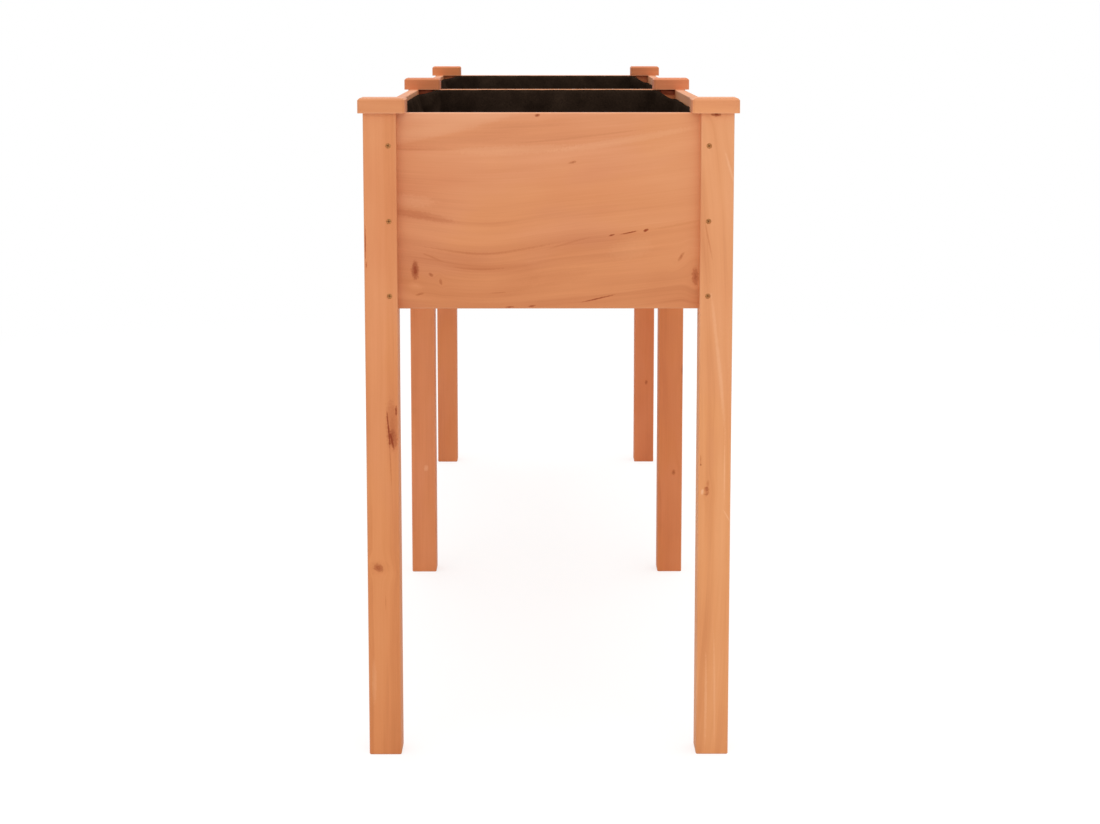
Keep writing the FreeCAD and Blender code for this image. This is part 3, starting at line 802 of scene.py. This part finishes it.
def buildScrewTree():  # one screw built in mm along +Z from its head's face, then set on every point
    sizes = ("Head", "Length", "Shank", "Head Depth", "Recess Length", "Recess Width", "Recess Depth", "Tip")
    tree, add, given = newTree(
        "woodScrews", "GeometryNodeTree",
        {"Geometry": ("Geometry",), "Float": sizes, "Int": ("Spin Seed",), "Material": ("Metal",)},
        {"Geometry": ("Geometry",)},
    )
    headRadius = add("Math", {0: given["Head"], 1: 0.5}, operation="MULTIPLY")
    shankRadius = add("Math", {0: given["Shank"], 1: 0.5}, operation="MULTIPLY")
    # countersunk head, less two crossed bars for the recess
    head = add("GeometryNodeMeshCone", {
        "Vertices": screwSides, "Radius Top": shankRadius, "Radius Bottom": headRadius,
        "Depth": given["Head Depth"],
    })
    barLong = add("Math", {0: given["Head"], 1: given["Recess Length"]}, operation="MULTIPLY")
    barWide = add("Math", {0: given["Head"], 1: given["Recess Width"]}, operation="MULTIPLY")
    barDeep = add("Math", {0: given["Recess Depth"], 1: 2.0}, operation="MULTIPLY")
    cut = add("GeometryNodeMeshBoolean", {"Mesh 1": head}, operation="DIFFERENCE")
    for x, y in ((barLong, barWide), (barWide, barLong)):
        size = add("CombineXYZ", {0: x, 1: y, 2: barDeep})
        setInputs(cut, {"Mesh 2": add("GeometryNodeMeshCube", {"Size": size})})
    # shank and point
    shankEnd = add("Math", {0: given["Length"], 1: given["Tip"]}, operation="SUBTRACT")
    shankLong = add("Math", {0: shankEnd, 1: given["Head Depth"]}, operation="SUBTRACT")
    shank = add("GeometryNodeMeshCone", {
        "Vertices": screwSides, "Radius Top": shankRadius, "Radius Bottom": shankRadius, "Depth": shankLong,
    }, fill_type="NONE")
    tip = add("GeometryNodeMeshCone", {
        "Vertices": screwSides, "Radius Top": 0.0, "Radius Bottom": shankRadius, "Depth": given["Tip"],
    }, fill_type="NONE")
    pieces = [cut]
    for piece, start in ((shank, given["Head Depth"]), (tip, shankEnd)):
        lift = add("CombineXYZ", {2: start})
        pieces.append(add("GeometryNodeTransform", {"Geometry": piece, "Translation": lift}))
    whole = add("GeometryNodeJoinGeometry")
    for piece in pieces:
        setInputs(whole, {0: piece})
    # one on each point, turned to its direction and spun as the driver left it
    aim = add("GeometryNodeInputNamedAttribute", {"Name": "aim"}, data_type="FLOAT_VECTOR")
    turn = add("FunctionNodeAlignRotationToVector", {"Vector": aim}, axis="Z")
    spin = add("FunctionNodeRandomValue", {"Max": math.tau, "Seed": given["Spin Seed"]}, data_type="FLOAT")
    spinTurn = add("CombineXYZ", {2: spin.outputs[1]})
    driven = add("GeometryNodeInstanceOnPoints", {
        "Points": given["Geometry"], "Instance": whole, "Rotation": turn, "Scale": (mm, mm, mm)})
    spun = add("GeometryNodeRotateInstances", {"Instances": driven, "Rotation": spinTurn})
    real = add("GeometryNodeRealizeInstances", {0: spun})
    plated = add("GeometryNodeSetMaterial", {"Geometry": real, "Material": given["Metal"]})
    add("NodeGroupOutput", {"Geometry": plated})
    return tree


def buildScrews(node, tree, metal):
    places = screwPlaces(node)
    mesh = bpy.data.meshes.new(node + "Points")
    mesh.from_pydata([place[0] for place in places], [], [])
    aims = mesh.attributes.new("aim", "FLOAT_VECTOR", "POINT")
    for k, place in enumerate(places):
        aims.data[k].vector = place[1]
    piece = newObject(node.replace("_screws", "_wood_screws"), mesh)
    modifier = piece.modifiers.new("woodScrews", "NODES")
    modifier.node_group = tree
    values = {**screw, "Head": places[0][3] / mm, "Length": places[0][2] / mm, "Metal": metal}
    for item in tree.interface.items_tree:
        if item.in_out == "INPUT" and item.name in values:
            modifier[item.identifier] = values[item.name]
    made = evaluatedMesh(piece)
    piece.modifiers.clear()
    piece.data = made
    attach(piece, "root")
    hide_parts(node)
    print(node, len(places), "screws,", len(made.polygons), "faces")


screwTree, screwMetal = buildScrewTree(), zincSteel()
for node in screwGroups:
    buildScrews(node, screwTree, screwMetal)

# Beech: turned dowels, pale pinkish brown with short flecks
beech = {"light": "#d9b48c", "dark": "#b98d62", "fleck": (0.7, 0.7, 6.0)}  # fleck width and length in mm


def turnedBeech():
    material, add, shader, place = newMaterial("turnedBeech")
    fleckSize = [size * mm for size in beech["fleck"]]
    scaled = add("VectorMath", {0: place, 1: fleckSize}, operation="DIVIDE")
    fleck = add("TexNoise", {"Vector": scaled, "Scale": 1.0, "Detail": 2.0})
    colour = add("Mix", {0: fleck, 6: linear(beech["dark"]), 7: linear(beech["light"])}, data_type="RGBA")
    setInputs(shader, {"Base Color": colour.outputs[2], "Roughness": 0.6})
    return material


nodes["cap_dowels"].material_slots[0].material = turnedBeech()
print("beech dowels finished")

# Studio: white floor and surround, a soft key and a weaker fill in front, one lamp behind and one above
studio = {
    "world": 0.75,  # the light from all round
    "aimAt": (0, 0, 0.4),
    "lamps": {  # power in watts, place and size in metres
        "key": (17, (0.9, -3.6, 2.4), 2.4), "fill": (12.5, (-1.2, -3.5, 1.6), 2.6),
        "back": (12, (-0.9, 3.6, 2.2), 2.6), "top": (30, (0.2, 0.0, 3.0), 3.0),
    },
    "floorReach": 30.0, "floorColour": "#f4f4f4",
    "floorGlow": 0.74, "floorShade": 0.35, "shadowEnds": (1.2, 2.6),  # a faint shadow, gone farther off
}


def whiteRays(add):  # 1 for the rays that see the white itself: from the camera, a mirror or glass
    rays = add("LightPath").outputs
    seen = add("Math", {0: rays["Is Camera Ray"], 1: rays["Is Glossy Ray"]}, operation="MAXIMUM")
    return add("Math", {0: seen, 1: rays["Is Transmission Ray"]}, operation="MAXIMUM")


def buildWorld(scene):
    scene.world = bpy.data.worlds.new("whiteStudio")
    scene.world.use_nodes = True
    tree = scene.world.node_tree
    add = partial(addNode, tree)
    strength = add("MapRange", {"Value": whiteRays(add), "To Min": studio["world"], "To Max": 1.0})
    setInputs(tree.nodes["Background"], {"Color": (1, 1, 1, 1), "Strength": strength})


def buildLamps():
    for name, (power, place, size) in studio["lamps"].items():
        lamp = bpy.data.lights.new(name + "Softbox", "AREA")
        lamp.shape = "SQUARE"
        lamp.size = size
        lamp.energy = power
        lampObject = newObject(lamp.name, lamp)
        lampObject.location = place
        facing = Vector(studio["aimAt"]) - lampObject.location
        lampObject.rotation_euler = facing.to_track_quat("-Z", "Y").to_euler()


def buildFloor():
    reach = studio["floorReach"]
    corners = [(-reach, -reach, 0), (reach, -reach, 0), (reach, reach, 0), (-reach, reach, 0)]
    mesh = bpy.data.meshes.new("studioFloor")
    mesh.from_pydata(corners, [], [(0, 1, 2, 3)])
    floor = newObject("studioFloor", mesh)
    material, add, shader, place = newMaterial("whiteFloor")
    material.node_tree.nodes.remove(shader)
    distance = add("VectorMath", {0: place}, operation="LENGTH")
    shadowFrom, shadowTo = studio["shadowEnds"]
    fade = add("MapRange", {
        "Value": distance.outputs["Value"], "From Min": shadowFrom, "From Max": shadowTo,
    }, interpolation_type="SMOOTHSTEP")
    matt = add("BsdfDiffuse", {"Color": linear(studio["floorColour"])})
    white = add("Emission", {"Color": (1, 1, 1, 1), "Strength": 1.0})
    glow = add("Emission", {"Color": (1, 1, 1, 1), "Strength": studio["floorGlow"]})
    shade = add("BsdfDiffuse", {"Color": (studio["floorShade"],) * 3 + (1,)})
    near = add("AddShader", {0: glow, 1: shade})
    lit = add("MixShader", {0: fade, 1: near, 2: white})
    both = add("MixShader", {0: whiteRays(add), 1: matt, 2: lit})
    setInputs(material.node_tree.nodes["Material Output"], {"Surface": both})
    mesh.materials.append(material)


photoView = {  # from fitting the planter's corners to the photograph
    "location": (-0.0074, -2.8807, 0.7622), "pitchDown": 7.312, "yaw": 0.235, "lens": 68.89, "shiftY": -0.11,
}


def buildCamera(scene):
    camera = bpy.data.cameras.new("photoCamera")
    camera.sensor_width = 36
    camera.lens = photoView["lens"]
    camera.shift_y = photoView["shiftY"]
    cameraObject = newObject("photoCamera", camera)
    cameraObject.location = photoView["location"]
    pitch, yaw = math.radians(90 - photoView["pitchDown"]), math.radians(-photoView["yaw"])
    cameraObject.rotation_euler = (pitch, 0, yaw)
    scene.camera = cameraObject


scene = bpy.context.scene
scene.view_settings.view_transform = "Standard"
buildWorld(scene)
buildLamps()
buildFloor()
buildCamera(scene)
print("studio and camera ready")
